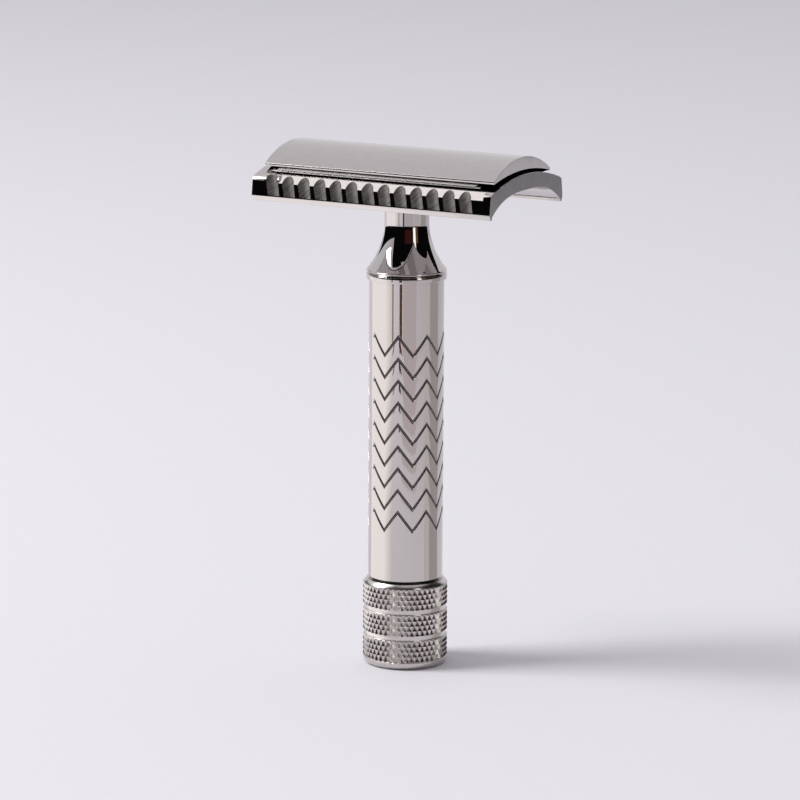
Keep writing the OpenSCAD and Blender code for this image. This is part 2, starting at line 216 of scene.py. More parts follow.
# Stretches in the rounding of an end edge
END_STEPS = 3


def cad_corners(node: str) -> list[Vector]:
    """The lowest and the highest corner of a node's box, in millimetres."""
    return [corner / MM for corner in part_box(node)]


def around(radius: float, angle: float, height: float) -> Point3:
    """A point around the handle's axis, at an angle from the front in radians."""
    return (radius * math.sin(angle), -radius * math.cos(angle), height)


@dataclass
class Shell:
    """A closed surface while it is being made: its corners in millimetres, and its faces."""

    points: list[Point3]
    faces: Faces

    def join(self, other: "Shell") -> "Shell":
        """Adds another surface's corners and faces to this one."""
        first = len(self.points)
        self.points += other.points
        self.faces += [tuple(first + i for i in face) for face in other.faces]
        return self

    def mesh(self, name: str, *finishes: Finish) -> bpy.types.Mesh:
        """Turns the surface into a Blender mesh.

        Args:
            name: The mesh's name.
            *finishes: Its material slots.

        Returns:
            The mesh, in metres, with its doubles merged and its faces pointing outwards.
        """
        data = bpy.data.meshes.new(name)
        data.from_pydata([tuple(c * MM for c in p) for p in self.points], [], self.faces)
        work = bmesh.new()
        work.from_mesh(data)
        bmesh.ops.remove_doubles(work, verts=work.verts, dist=SAME_PLACE_MM * MM)
        bmesh.ops.recalc_face_normals(work, faces=work.faces)
        work.to_mesh(data)
        work.free()
        for finish in finishes:
            data.materials.append(finish.material())
        return data


def arc(centre: Point, radius: float, start: float, end: float, steps: int) -> list[Point]:
    """Points along an arc.

    Args:
        centre: The arc's centre.
        radius: Its radius.
        start: The first point's angle in degrees.
        end: The last point's angle in degrees.
        steps: The number of stretches between the points.

    Returns:
        steps + 1 points.
    """
    turn = [math.radians(start + (end - start) * i / steps) for i in range(steps + 1)]
    return [(centre[0] + radius * math.cos(t), centre[1] + radius * math.sin(t)) for t in turn]


def eased(outline: list[Point], radius: float, steps: int = 3, sharper: float = 20.0) -> list[Point]:
    """Rounds the sharp corners of a closed outline, as deburring does.

    Args:
        outline: The outline's corners.
        radius: How far from a corner the rounding starts.
        steps: The number of stretches in each rounding.
        sharper: Corners that turn by fewer degrees stay as they are.

    Returns:
        The new outline.
    """
    made: list[Point] = []
    for i, corner in enumerate(outline):
        here = Vector(corner)
        before = Vector(outline[i - 1]) - here
        after = Vector(outline[(i + 1) % len(outline)]) - here
        if math.degrees((-before).angle(after)) < sharper:
            made.append(corner)
            continue
        start = here + before.normalized() * min(radius, before.length * 0.45)
        end = here + after.normalized() * min(radius, after.length * 0.45)
        for k in range(steps + 1):
            t = k / steps
            made.append(tuple(start * (1 - t) ** 2 + here * 2 * t * (1 - t) + end * t * t))
    return made


def lathe(outline: list[Point], sides: int) -> Shell:
    """Turns a closed outline of radius and height about the handle's axis.

    Args:
        outline: Points of radius and height that don't touch the axis.
        sides: The number of columns around.

    Returns:
        A ring-shaped closed shell.
    """
    rings = len(outline)
    points = [around(r, 2 * math.pi * j / sides, z) for j in range(sides) for r, z in outline]
    faces = [(j * rings + i, (j + 1) % sides * rings + i,
              (j + 1) % sides * rings + (i + 1) % rings, j * rings + (i + 1) % rings)
             for j in range(sides) for i in range(rings)]
    return Shell(points, faces)


def inset(outline: list[Point], depth: float) -> list[Point]:
    """Moves every point of a closed outline inwards, or outwards if depth is negative.

    Args:
        outline: The outline, in either direction.
        depth: How far each point moves, square to the outline.

    Returns:
        The moved points.
    """
    count = len(outline)
    area = sum(outline[i - 1][0] * outline[i][1] - outline[i][0] * outline[i - 1][1]
               for i in range(count))
    side = 1 if area > 0 else -1
    made: list[Point] = []
    for i, corner in enumerate(outline):
        along = Vector(outline[(i + 1) % count]) - Vector(outline[i - 1])
        along.normalize()
        made.append((corner[0] - side * along.y * depth, corner[1] + side * along.x * depth))
    return made


def along_head(outline: list[Point], length: float, edge: float,
               seams: list[float] | None = None) -> Shell:
    """Draws an outline of Y and Z out along X, with rounded end edges.

    Args:
        outline: The cross-section.
        length: The length, half of it on each side of the handle's axis.
        edge: The radius of the end edges.
        seams: Places along X where the long faces are divided, which keeps long faces simple.

    Returns:
        A closed shell.
    """
    count = len(outline)
    quarter = [math.pi / 2 * k / END_STEPS for k in range(END_STEPS + 1)]
    left = [(-length / 2 + edge * (1 - math.sin(t)), edge * (1 - math.sin(math.pi / 2 - t)))
            for t in reversed(quarter)]
    right = [(-x, depth) for x, depth in reversed(left)]
    points: list[Point3] = []
    stations = left + [(x, 0.0) for x in seams or []] + right
    for x, depth in stations:
        points += [(x, y, z) for y, z in inset(outline, depth)]
    last = len(stations) - 1
    faces: Faces = [(s * count + i, s * count + (i + 1) % count,
                     (s + 1) * count + (i + 1) % count, (s + 1) * count + i)
                    for s in range(last) for i in range(count)]
    faces += [tuple(range(count)), tuple(range(last * count, (last + 1) * count))]
    return Shell(points, faces)


def bar(radius: float, low: float, high: float, sides: int = 48, x: float = 0.0) -> Shell:
    """An upright round bar with closed ends, at a place along the head."""
    ring = arc((x, 0.0), radius, 0, 360 - 360 / sides, sides - 1)
    points = [(px, py, z) for z in (low, high) for px, py in ring]
    faces: Faces = [(i, (i + 1) % sides, sides + (i + 1) % sides, sides + i) for i in range(sides)]
    return Shell(points, faces + [tuple(range(sides)), tuple(range(sides, 2 * sides))])


def linked_object(name: str, data: bpy.types.ID) -> bpy.types.Object:
    """Makes an object at the origin and links it into the scene."""
    made = bpy.data.objects.new(name, data)
    bpy.context.scene.collection.objects.link(made)
    return made


def settled(worker: bpy.types.Object) -> bpy.types.Mesh:
    """Turns an object with live modifiers into a plain mesh, and takes the object away."""
    ready = worker.evaluated_get(bpy.context.evaluated_depsgraph_get())
    data = bpy.data.meshes.new_from_object(ready)
    bpy.data.objects.remove(worker)
    return data


def fit_object(name: str, data: bpy.types.Mesh, sharp: float = 30.0) -> bpy.types.Object:
    """Makes an object that is smooth where its faces turn by less than an angle.

    Large faces keep their own normals, so that the small roundings beside them don't darken them.

    Args:
        name: The object's name.
        data: Its mesh.
        sharp: Edges that turn by more degrees stay crisp.

    Returns:
        The object, linked into the scene.
    """
    data.shade_smooth()
    data.set_sharp_from_angle(angle=math.radians(sharp))
    worker = linked_object("shading", data)
    weigh = worker.modifiers.new("large_faces", "WEIGHTED_NORMAL")
    weigh.keep_sharp = True
    ready = settled(worker)
    ready.name = name
    return linked_object(name, ready)


def softened(data: bpy.types.Mesh, width: float, turn: float = 32.0) -> bpy.types.Mesh:
    """Rounds a mesh's crisp edges.

    Args:
        data: The mesh.
        width: The width of the rounding.
        turn: Edges that turn by more degrees are rounded.

    Returns:
        The new mesh.
    """
    worker = linked_object("softening", data)
    bevel = worker.modifiers.new("edges", "BEVEL")
    bevel.width = width * MM
    bevel.segments = 2
    bevel.limit_method = "ANGLE"
    bevel.angle_limit = math.radians(turn)
    bevel.use_clamp_overlap = True
    return settled(worker)


@dataclass(frozen=True)
class Recipe:
    """A geometry tree under construction, and the values of its named inputs."""

    tree: bpy.types.NodeTree
    start: bpy.types.Node
    values: dict[str, object]

    @staticmethod
    def begin(name: str, values: dict[str, object]) -> "Recipe":
        """Starts a tree with a geometry input and one named input for each value."""
        tree = bpy.data.node_groups.new(name, "GeometryNodeTree")
        tree.interface.new_socket("Geometry", in_out="INPUT", socket_type="NodeSocketGeometry")
        tree.interface.new_socket("Geometry", in_out="OUTPUT", socket_type="NodeSocketGeometry")
        kinds = {int: "NodeSocketInt", float: "NodeSocketFloat",
                 bpy.types.Material: "NodeSocketMaterial", bpy.types.Object: "NodeSocketObject"}
        for label, value in values.items():
            tree.interface.new_socket(label, in_out="INPUT", socket_type=kinds[type(value)])
        return Recipe(tree, add_node(tree, "NodeGroupInput"), values)

    def source(self, label: str) -> bpy.types.NodeSocket:
        """The output socket of a named input."""
        return self.start.outputs[label]

    def node(self, kind: str, inputs: dict | None = None, **settings: object) -> bpy.types.Node:
        """Adds a node to this tree."""
        return add_node(self.tree, kind, inputs, **settings)

    def sum(self, kind: str, first: object, second: object) -> bpy.types.NodeSocket:
        """Adds a calculation on two numbers and returns its result."""
        return self.node("ShaderNodeMath", {0: first, 1: second}, operation=kind).outputs[0]

    def finish(self, geometry: bpy.types.NodeSocket, data: bpy.types.Mesh) -> bpy.types.Mesh:
        """Ends the tree and runs it on a mesh.

        Args:
            geometry: The socket that carries the finished shape.
            data: The mesh that the tree starts from.

        Returns:
            A plain mesh.
        """
        self.node("NodeGroupOutput", {0: geometry})
        worker = linked_object("working", data)
        modifier = worker.modifiers.new("recipe", "NODES")
        modifier.node_group = self.tree
        for item in self.tree.interface.items_tree:
            if item.in_out == "INPUT" and item.name in self.values:
                modifier[item.identifier] = self.values[item.name]
        return settled(worker)


def place_piece(piece: bpy.types.Object, body: str, slot: str, *nodes: str) -> bpy.types.Object:
    """Fixes a piece to a body and hides the nodes that it stands for.

    Args:
        piece: The finished object.
        body: The body that it moves with.
        slot: Not used.
        *nodes: The nodes that it replaces.

    Returns:
        The same object.
    """
    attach(piece, body)
    if nodes:
        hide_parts(*nodes)
    LOG.info("%s: %d faces, on %s", piece.name, len(piece.data.polygons), body)
    return piece


# ---------------------------------------------------------------- the head

@dataclass
class Cap:
    """The curved cap with its threaded stud."""

    crown_radius: float = 17.94
    underside_radius: float = 41.17
    half_width: float = 9.849
    end_edge: float = 0.05
    long_edge: float = 0.08
    crown_steps: int = 48
    underside_steps: int = 24
    stud_radius: float = 2.5
    stud_sides: int = 36
    stud_tip: float = 0.5
    thread_pitch: float = 0.8
    thread_depth: float = 0.44
    # One turn of the thread: the share of the pitch, and the share of the depth there
    thread_form: tuple[Point, ...] = (
        (0.0, 0.0), (0.1, 0.0), (0.36, 1.0), (0.5, 1.0), (0.64, 1.0), (0.9, 0.0))

    def build(self) -> None:
        """Makes the cap and the stud."""
        low, high = cad_corners("top_cap")
        crown = high.z
        middle = crown - self.crown_radius
        drop = math.degrees(math.asin(self.half_width / self.crown_radius))
        slope = math.asin(self.half_width / self.underside_radius)
        under = low.z + self.underside_radius * (1 - math.cos(slope))
        slope = math.degrees(slope)
        outline = arc((0, middle), self.crown_radius, 90 - drop, 90 + drop, self.crown_steps)
        outline += arc((0, under - self.underside_radius), self.underside_radius, 90 + slope, 90 - slope,
                       self.underside_steps)
        shell = along_head(eased(outline, self.long_edge), high.x - low.x, self.end_edge)
        piece = fit_object("cap_shell", shell.mesh("cap_shell", CHROME_PLATE))
        place_piece(piece, "cap", "cap_chrome", "top_cap")
        self.build_stud()

    def build_stud(self) -> None:
        """Makes the stud: its thread climbs by one pitch around the axis, so the last column meets the first
        one turn higher."""
        low, high = cad_corners("cap_stud")
        columns, rows = self.stud_sides, len(self.thread_form)
        turns = math.ceil((high.z - low.z) / self.thread_pitch) + 1
        root, tip = self.stud_radius - self.thread_depth, self.stud_radius - self.stud_tip
        points: list[Point3] = []
        for j in range(columns):
            angle = 2 * math.pi * j / columns
            for t in range(-1, turns):
                for k, depth in self.thread_form:
                    z = low.z + (t + k + j / columns) * self.thread_pitch
                    r = min(self.stud_radius - self.thread_depth * depth, tip + max(z - low.z, 0.0))
                    if z <= low.z or z >= high.z:
                        r = root if z >= high.z else tip
                        z = min(max(z, low.z), high.z)
                    points.append(around(r, angle, z))
        height = rows * (turns + 1)
        faces: Faces = []
        for j in range(columns):
            for i in range(height - 1):
                here, there = j * height + i, (j + 1) * height + i
                if j == columns - 1:
                    if i + rows + 1 >= height:
                        continue
                    there = i + rows
                faces.append((here, there, there + 1, here + 1))
        shell = Shell(points, faces)
        for z, r in ((low.z, tip), (high.z, root)):
            first = len(shell.points)
            shell.points += [around(r, 2 * math.pi * j / columns, z) for j in range(columns)]
            shell.faces.append(tuple(range(first, first + columns)))
        piece = fit_object("cap_stud_thread", shell.mesh("cap_stud_thread", STUD_STEEL))
        place_piece(piece, "cap", "stud_steel", "cap_stud")


@dataclass
class Blade:
    """The double-edge blade, cut flat with its slot and holes, ground, and bent over the seat."""

    length: float = 43.0
    width: float = 22.0
    thickness: float = 0.1
    edge_length: float = 37.4
    tab_width: float = 13.4
    corner: float = 0.5
    slot_width: float = 1.4
    stud_hole: float = 2.8
    pin_hole: float = 1.8
    pin_place: float = 13.6
    bend_radius: float = 41.0
    # The ground bevels: the distance from the edge, and the share of the thickness there
    bevels: tuple[Point, ...] = ((0.0, 0.06), (0.3, 0.5), (0.75, 1.0))
    pin_steps: int = 16
    stud_steps: int = 20
    bend_lines: int = 10
    shading_turn: float = 25.0

    def slot_outline(self) -> list[Point]:
        """The outline of the slot, widened by the stud's hole and the pins' holes."""
        half = self.slot_width / 2
        pin = math.degrees(math.asin(half / self.pin_hole))
        stud = math.degrees(math.asin(half / self.stud_hole))
        upper = arc((self.pin_place, 0), self.pin_hole, 0, 180 - pin, self.pin_steps)
        upper += arc((0, 0), self.stud_hole, stud, 180 - stud, self.stud_steps)
        upper += arc((-self.pin_place, 0), self.pin_hole, pin, 180, self.pin_steps)
        return upper + [(x, -y) for x, y in upper[-2:0:-1]]

    def outer_outline(self) -> list[Point]:
        """The blade's outer outline, with its end tabs."""
        a, b = self.edge_length / 2, self.length / 2
        c, d = self.width / 2, self.tab_width / 2
        quarter = [(b, d), (a, d), (a, c)]
        corners = quarter + [(-x, y) for x, y in quarter[::-1]]
        corners += [(-x, -y) for x, y in quarter] + [(x, -y) for x, y in quarter[::-1]]
        return eased(corners, self.corner)

    def bent(self, x: float, across: float, up: float, base: float) -> Point3:
        """Where a point of the flat, unground blade ends up.

        Args:
            x: Its place along the blade.
            across: Its place across the blade, which becomes an angle around the bend.
            up: 0 on the lower face and 1 on the upper one. The bevels thin both faces alike.
            base: The height of the bend's axis.

        Returns:
            The point on the bent, ground blade.
        """
        reach = self.width / 2 - abs(across)
        keep = self.bevels[-1][1]
        for (near, thin), (far, thick) in zip(self.bevels, self.bevels[1:]):
            if reach < far:
                keep = thin + (thick - thin) * max(reach - near, 0) / (far - near)
                break
        height = self.thickness * (0.5 + (up - 0.5) * keep)
        turn = across / self.bend_radius
        r = self.bend_radius + height
        return (x, r * math.sin(turn), base + r * math.cos(turn))

    def build(self) -> None:
        """Makes the blade."""
        top = cad_corners("blade")[1].z
        outer, slot = self.outer_outline(), self.slot_outline()
        flat = [Vector((x, y, 0)) for x, y in outer + slot]
        triangles = tessellate_polygon([flat[:len(outer)], flat[len(outer):]])
        count = len(flat)
        points = [(p.x, p.y, up) for up in (0.0, 1.0) for p in flat]
        faces: Faces = [tuple(t) for t in triangles] + [tuple(count + i for i in t) for t in triangles]
        for first, last in ((0, len(outer)), (len(outer), count)):
            loop = list(range(first, last))
            faces += [(a, b, b + count, a + count) for a, b in zip(loop, loop[1:] + loop[:1])]
        work = bmesh.new()
        data = bpy.data.meshes.new("blade_flat")
        data.from_pydata(points, [], faces)
        work.from_mesh(data)
        cuts = [self.width / 2 - reach for reach, _ in self.bevels[1:]]
        cuts += [float(y) for y in range(self.bend_lines)]
        for y in sorted({s * c for s in (-1, 1) for c in cuts}):
            bmesh.ops.bisect_plane(work, geom=work.verts[:] + work.edges[:] + work.faces[:],
                                   plane_co=(0, y, 0), plane_no=(0, 1, 0), dist=1e-5)
        ground_from = self.width / 2 - self.bevels[-1][0]
        for face in work.faces:
            face.material_index = int(abs(face.calc_center_median().y) > ground_from)
        base = top - self.thickness - self.bend_radius
        for vert in work.verts:
            vert.co = Vector(self.bent(vert.co.x, vert.co.y, vert.co.z, base)) * MM
        bmesh.ops.recalc_face_normals(work, faces=work.faces)
        work.to_mesh(data)
        work.free()
        data.materials.append(BLADE_STEEL.material())
        data.materials.append(BLADE_GROUND.material())
        piece = fit_object("blade_ground", data, self.shading_turn)
        place_piece(piece, "blade", "blade_steel", "blade")


@dataclass
class GuardPlate:
    """The arched base plate with its raised seat and the scalloped guard along both sides."""

    top_radius: float = 37.0
    plate_thickness: float = 2.7
    guard_height: float = 6.2
    guard_lip: float = 0.45
    guard_reach: float = 2.08
    chamfer_slope: float = 44.5
    chamfer_inset: float = 0.05
    chamfer_length: float = 38.4
    chamfer_shift: float = 1.8
    edge_radius: float = 1.0
    face_lean: float = 7.0
    tip_width: float = 0.5
    bevel_width: float = 0.35
    bevel_height: float = 0.8
    seat_rise: float = 0.25
    seat_half_width: float = 10.86
    seat_radius: float = 40.93
    end_land: float = 2.9
    pad_radius: float = 4.35
    pad_height: float = 0.15
    scallops: int = 13
    end_block: float = 2.75
    rib: float = 0.68
    lean: float = 12.0
    slant: float = 12.0
    ledge: float = 0.75
    rail: float = 1.05
    neck_hole: float = 3.3
    pin_hole: float = 1.58
    pin_place: float = 13.6
    body_ease: float = 0.14
    body_turn: float = 25.0
    body_end: float = 0.07
    seat_ease: float = 0.1
    seat_end: float = 0.05
    # How deep seat and pad sink into the body, and how far the cutters reach past it
    sink: float = 1.4
    pad_sink: float = 1.2
    past: float = 1.0
    over: float = 3.0
    softening: float = 0.07
    end_depth: float = 0.02
    arc_steps: int = 20

    def half_outline(self, half: float, crown: float) -> list[Point]:
        """The right half of the cross-section.

        Args:
            half: Half of the plate's width.
            crown: The height of the arched top.

        Returns:
            Points from the crown round to the middle of the underside.
        """
        foot = crown - self.guard_height
        front = Vector((half, foot + self.bevel_height))
        out = Vector((math.cos(math.radians(self.face_lean)), math.sin(math.radians(self.face_lean))))
        centre = Vector((0.0, crown - self.top_radius))
        across = (front - centre).dot(out) - self.edge_radius
        along = math.sqrt((self.top_radius - self.edge_radius) ** 2 - across ** 2)
        edge = centre + out * across + Vector((-out.y, out.x)) * along
        start = math.degrees(math.atan2(edge.y - centre.y, edge.x))
        inner = half - self.bevel_width - self.tip_width
        under = crown - self.plate_thickness
        fall = self.guard_height - self.plate_thickness - self.guard_lip
        steps = self.arc_steps
        outline = arc(tuple(centre), self.top_radius, 90, start, steps)
        outline += arc(tuple(edge), self.edge_radius, start, self.face_lean, 8)
        outline += [tuple(front), (half - self.bevel_width, foot), (inner, foot)]
        return outline + [(inner * i / steps, under - fall * (i / steps) ** 3)
                          for i in range(steps, -1, -1)]

    def chamfer_tool(self, half: float, crown: float, ribs: list[float]) -> Shell:
        """The cutters of the long chamfers above the scallops, one turned half round from the other.

        Args:
            half: Half of the plate's width.
            crown: The height of the arched top.
            ribs: The places of the ribs along X, where the long faces are divided.

        Returns:
            Two closed prisms.
        """
        start = half - self.guard_reach - self.chamfer_inset
        bend = crown + self.seat_rise - self.seat_radius
        top = bend + math.sqrt(self.seat_radius ** 2 - start ** 2)
        reach = self.guard_reach + self.past
        fall = reach * math.tan(math.radians(self.chamfer_slope))
        end = start + reach
        section = [(start, top), (end, top - fall), (end, top + fall), (start, top + fall)]
        first = self.chamfer_shift - self.chamfer_length / 2
        last = self.chamfer_shift + self.chamfer_length / 2
        stations = [first] + [x for x in ribs if first + self.rib < x < last - self.rib] + [last]
        tool = Shell([], [])
        for side in (-1, 1):
            points = [(-side * x, side * y, z) for x in stations for y, z in section]
            faces: Faces = [(4 * s + i, 4 * s + (i + 1) % 4, 4 * s + 4 + (i + 1) % 4, 4 * s + 4 + i)
                            for s in range(len(stations) - 1) for i in range(4)]
            end = 4 * (len(stations) - 1)
            tool.join(Shell(points, faces + [(0, 1, 2, 3), (end, end + 1, end + 2, end + 3)]))
        return tool

    def build(self) -> None:
        """Makes the plate: its arched body, then seat and pad, then every cut."""
        low, high = cad_corners("base_plate")
        half, length = high.y, high.x - low.x
        foot = low.z
        crown = foot + self.guard_height
        right = self.half_outline(half, crown)
        whole = right + [(-y, z) for y, z in right[-2:0:-1]]
        pitch = (length - 2 * self.end_block) / self.scallops
        ribs = [(i - self.scallops / 2) * pitch for i in range(self.scallops + 1)]
        whole = eased(whole, self.body_ease, sharper=self.body_turn)
        body = along_head(whole, length, self.body_end, ribs).mesh("plate_body", CHROME_PLATE)
        bend = crown + self.seat_rise - self.seat_radius
        reach = math.degrees(math.asin(self.seat_half_width / self.seat_radius))
        seat = arc((0, bend), self.seat_radius, 90 - reach, 90 + reach, 24)
        seat += [(side * self.seat_half_width, crown - self.sink) for side in (-1, 1)]
        under = crown - self.plate_thickness
        seat_shell = along_head(eased(seat, self.seat_ease), length - 2 * self.end_land, self.seat_end)
        pad = bar(self.pad_radius, under - self.pad_height, under + self.pad_sink)
        cuts = self.chamfer_tool(half, crown, ribs).join(bar(self.neck_hole, foot, crown + self.over))
        for side in (-1, 1):
            cuts.join(bar(self.pin_hole, foot, crown + self.over, 32, side * self.pin_place))
        radius = (pitch - self.rib) / 2
        lean = math.radians(self.lean)
        recipe = Recipe.begin("guard_cuts", {
            "Scallop count": self.scallops, "Scallop pitch": pitch * MM, "Scallop radius": radius * MM,
            "Cutter height": self.guard_height * MM, "Cutter stretch": 1 / math.cos(lean),
            "Cutter lean": math.tan(lean), "Cutter slant": -math.tan(math.radians(self.slant)),
            "Ledge height": (foot + self.rail) * MM,
            "Axis distance": (half - self.ledge + radius / math.cos(lean)) * MM,
            "Seat": linked_object("seat_tool", seat_shell.mesh("seat_tool", CHROME_PLATE)),
            "Pad": linked_object("pad_tool", pad.mesh("pad_tool", CHROME_PLATE)),
            "Cuts": linked_object("cutting_tool", cuts.mesh("cutting_tool", CHROME_PLATE)),
            # The milled finish paints shade on the scallop floors with its dark colour
            "Polished": CHROME_PLATE.material(), "Milled with painted shade": CHROME_MILLED_PAINTED_SHADE.material()})
        data = softened(recipe.finish(self.cut_guard(recipe), body), self.softening)
        # The flat end faces take the darker, rougher end finish
        data.materials.append(CHROME_DARK_END.material())
        for face in data.polygons:
            if abs(face.normal.x) > 0.99 and abs(face.center.x) > (length / 2 - self.end_depth) * MM:
                face.material_index = len(data.materials) - 1
        for tool in ("seat_tool", "pad_tool", "cutting_tool"):
            bpy.data.objects.remove(bpy.data.objects[tool])
        place_piece(fit_object("guard_plate", data), "handle", "plate_chrome", "base_plate")

    @staticmethod
    def cut_guard(recipe: Recipe) -> bpy.types.NodeSocket:
        """Writes the steps that add seat and pad and cut scallops, chamfers and holes.

        Args:
            recipe: The tree to write them in.

        Returns:
            The socket that carries the finished plate.
        """
        node, source = recipe.node, recipe.source
        cutter = node("GeometryNodeMeshCylinder", {
            "Vertices": 40, "Radius": source("Scallop radius"), "Depth": source("Cutter height")})
        stretch = node("ShaderNodeCombineXYZ", {0: 1.0, 1: source("Cutter stretch"), 2: 1.0})
        rise = node("ShaderNodeCombineXYZ", {2: recipe.sum("MULTIPLY", source("Cutter height"), 0.5)})
        stood = node("GeometryNodeTransform", {
            "Geometry": cutter.outputs[0], "Translation": rise.outputs[0], "Scale": stretch.outputs[0]})
        height = node("ShaderNodeSeparateXYZ", {0: node("GeometryNodeInputPosition").outputs[0]}).outputs[2]
        shift = node("ShaderNodeCombineXYZ", {
            0: recipe.sum("MULTIPLY", height, source("Cutter slant")),
            1: recipe.sum("MULTIPLY", height, source("Cutter lean"))})
        leaned = node("GeometryNodeSetPosition", {
            "Geometry": stood.outputs[0], "Offset": shift.outputs[0]})
        # The cutters' faces, all but the downward one that cuts the ledge, are marked as milled; the milled
        # finish paints shade on them
        facing = node("ShaderNodeSeparateXYZ", {0: node("GeometryNodeInputNormal").outputs[0]}).outputs[2]
        upright = node("FunctionNodeCompare", {0: facing, 1: -0.9}, operation="GREATER_THAN")
        marked = node("GeometryNodeStoreNamedAttribute", {
            "Geometry": leaned.outputs[0], "Name": "milled", "Value": upright.outputs[0]},
            data_type="BOOLEAN", domain="FACE")
        gaps = recipe.sum("SUBTRACT", source("Scallop count"), 1.0)
        first = recipe.sum("MULTIPLY", recipe.sum("MULTIPLY", gaps, source("Scallop pitch")), -0.5)
        inwards = recipe.sum("MULTIPLY", source("Axis distance"), -1.0)
        start = node("ShaderNodeCombineXYZ", {0: first, 1: inwards, 2: source("Ledge height")})
        step = node("ShaderNodeCombineXYZ", {0: source("Scallop pitch")})
        row = node("GeometryNodeMeshLine", {
            "Count": source("Scallop count"), "Start Location": start.outputs[0], "Offset": step.outputs[0]})
        cutters = node("GeometryNodeInstanceOnPoints", {
            "Points": row.outputs[0], "Instance": marked.outputs[0]})
        front = node("GeometryNodeRealizeInstances", {0: cutters.outputs[0]})
        back = node("GeometryNodeTransform", {"Geometry": front.outputs[0], "Rotation": (0, 0, math.pi)})
        tools = [node("GeometryNodeObjectInfo", {"Object": source(name)}).outputs["Geometry"]
                 for name in ("Seat", "Pad", "Cuts")]
        built = node("GeometryNodeMeshBoolean", {"Mesh 2": source("Geometry")}, operation="UNION",
                     solver="EXACT")
        for tool in tools[:2]:
            recipe.tree.links.new(tool, built.inputs["Mesh 2"])
        cut = node("GeometryNodeMeshBoolean", {"Mesh 1": built.outputs[0]}, operation="DIFFERENCE",
                   solver="EXACT")
        for tool in (front.outputs[0], back.outputs[0], tools[2]):
            recipe.tree.links.new(tool, cut.inputs["Mesh 2"])
        whole = node("GeometryNodeRealizeInstances", {0: cut.outputs[0]})
        polished = node("GeometryNodeSetMaterial", {
            "Geometry": whole.outputs[0], "Material": source("Polished")})
        # The scallop floors take the milled finish, whose dark colour is painted shade
        is_milled_painted_shade = node("GeometryNodeInputNamedAttribute", {"Name": "milled"}, data_type="BOOLEAN")
        milled = node("GeometryNodeSetMaterial", {
            "Geometry": polished.outputs[0], "Selection": is_milled_painted_shade.outputs[0], "Material": source("Milled with painted shade")})
        return milled.outputs[0]


# ---------------------------------------------------------------- the handle

@dataclass
class Neck:
    """The turned neck: spigots, plain band, lip, hollow flare and slim stem, with its stepped bore."""

    stem: float = 3.75
    spigot: float = 4.6
    spigot_length: float = 5.0
    top_spigot: float = 3.3
    plate_thickness: float = 2.7
    bore: float = 3.1
    stud_bore: float = 2.58
    shoulder: float = 2.0
    flare: float = 12.0
    lip: float = 6.73
    lip_edge: float = 0.2
    lip_height: float = 1.5
    band_height: float = 1.02
    band_edge: float = 0.12
    groove_depth: float = 0.25
    groove_foot: float = 0.02
    groove_top: float = 0.1
    stem_edge: float = 0.08
    sides: int = 160

    def build(self) -> None:
        """Makes the neck."""
        low, high = cad_corners("neck")
        seam = low.z + self.spigot_length
        top = high.z
        plate = top - self.plate_thickness
        edge = (self.lip - self.lip_edge, seam + self.lip_height)
        across = self.stem + self.flare - edge[0]
        rise = math.sqrt((self.flare + self.lip_edge) ** 2 - across ** 2)
        centre = (edge[0] + across, edge[1] + rise)
        start = math.degrees(math.atan2(rise, across))
        side = self.lip - self.band_edge
        band = seam + self.band_height
        outline = [(self.spigot, low.z), (self.spigot, seam)]
        outline += arc((side, seam + self.band_edge), self.band_edge, -90, 0, 5)
        outline += arc((side, band - self.band_edge), self.band_edge, 0, 90, 5)
        floor = self.lip - self.groove_depth
        outline += [(floor, band + self.groove_foot), (floor, band + self.groove_top)]
        outline += arc(edge, self.lip_edge, -60, start, 8)
        outline += arc(centre, self.flare, start + 180, 180, 36)
        outline += [(self.stem, plate - self.stem_edge), (self.stem - self.stem_edge, plate)]
        outline.append((self.top_spigot, plate))
        outline += [(self.top_spigot, top), (self.stud_bore, top), (self.stud_bore, plate - self.shoulder)]
        outline += [(self.bore, plate - self.shoulder), (self.bore, low.z)]
        data = lathe(outline, self.sides).mesh("neck_turned", CHROME_PLATE)
        place_piece(fit_object("neck_turned", data, sharp=40), "handle", "neck_chrome", "neck")


